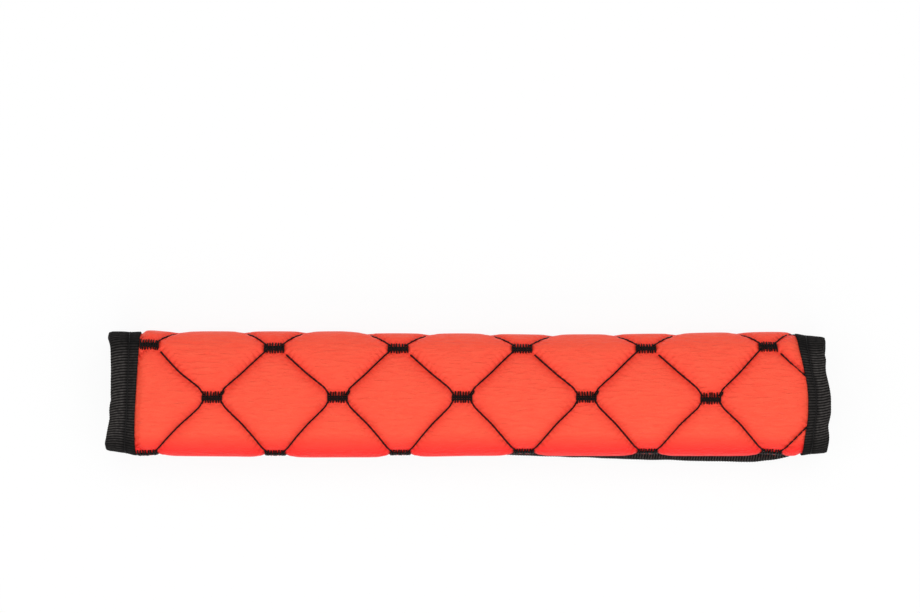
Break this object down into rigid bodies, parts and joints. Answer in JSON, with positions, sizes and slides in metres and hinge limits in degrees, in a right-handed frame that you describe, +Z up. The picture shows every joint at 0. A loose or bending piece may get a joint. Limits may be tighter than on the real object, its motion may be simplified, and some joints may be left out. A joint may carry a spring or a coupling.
{
  "type": "seat belt shoulder pad",
  "caption": "Padded sleeve that wraps round a car seat belt: diamond-quilted red faux leather, black taped edges, hook and loop closure underneath.",
  "frame": {"origin": "centre of the pad's bounding box at the level that it lies on", "axes": "+X along the belt, +Y across the belt towards the round fold, +Z up from the closure side to the quilted side that shows"},
  "size_m": [0.341, 0.0617, 0.0281],
  "materials": {
    "red_cover": "satin, fine grain",
    "foam": "open-cell foam",
    "black_lining": "matte woven",
    "black_tape": "matte ribbed",
    "black_thread": "matte",
    "closure_strip": "matte napped"
  },
  "bodies": {
    "root": {"quilted_cover": "red_cover", "foam_padding": "foam", "inner_lining": "black_lining", "edge_binding": "black_tape", "hook_strip": "closure_strip", "loop_strip": "closure_strip", "quilt_line_1": "black_thread", "quilt_line_2": "black_thread", "quilt_line_3": "black_thread", "quilt_line_4": "black_thread", "bar_tack_1_1": "black_thread", "bar_tack_1_2": "black_thread", "bar_tack_1_3": "black_thread", "bar_tack_1_4": "black_thread", "bar_tack_1_5": "black_thread", "bar_tack_1_6": "black_thread", "bar_tack_2_1": "black_thread", "bar_tack_2_2": "black_thread", "bar_tack_2_3": "black_thread", "bar_tack_2_4": "black_thread", "bar_tack_2_5": "black_thread", "bar_tack_3_1": "black_thread", "bar_tack_3_2": "black_thread", "bar_tack_3_3": "black_thread", "bar_tack_3_4": "black_thread", "bar_tack_3_5": "black_thread", "bar_tack_3_6": "black_thread", "bar_tack_4_1": "black_thread", "bar_tack_4_2": "black_thread", "bar_tack_4_3": "black_thread", "bar_tack_4_4": "black_thread", "bar_tack_4_5": "black_thread", "bar_tack_5_1": "black_thread", "bar_tack_5_2": "black_thread", "bar_tack_5_3": "black_thread", "bar_tack_5_4": "black_thread", "bar_tack_5_5": "black_thread", "bar_tack_5_6": "black_thread"}
  },
  "joints": []
}
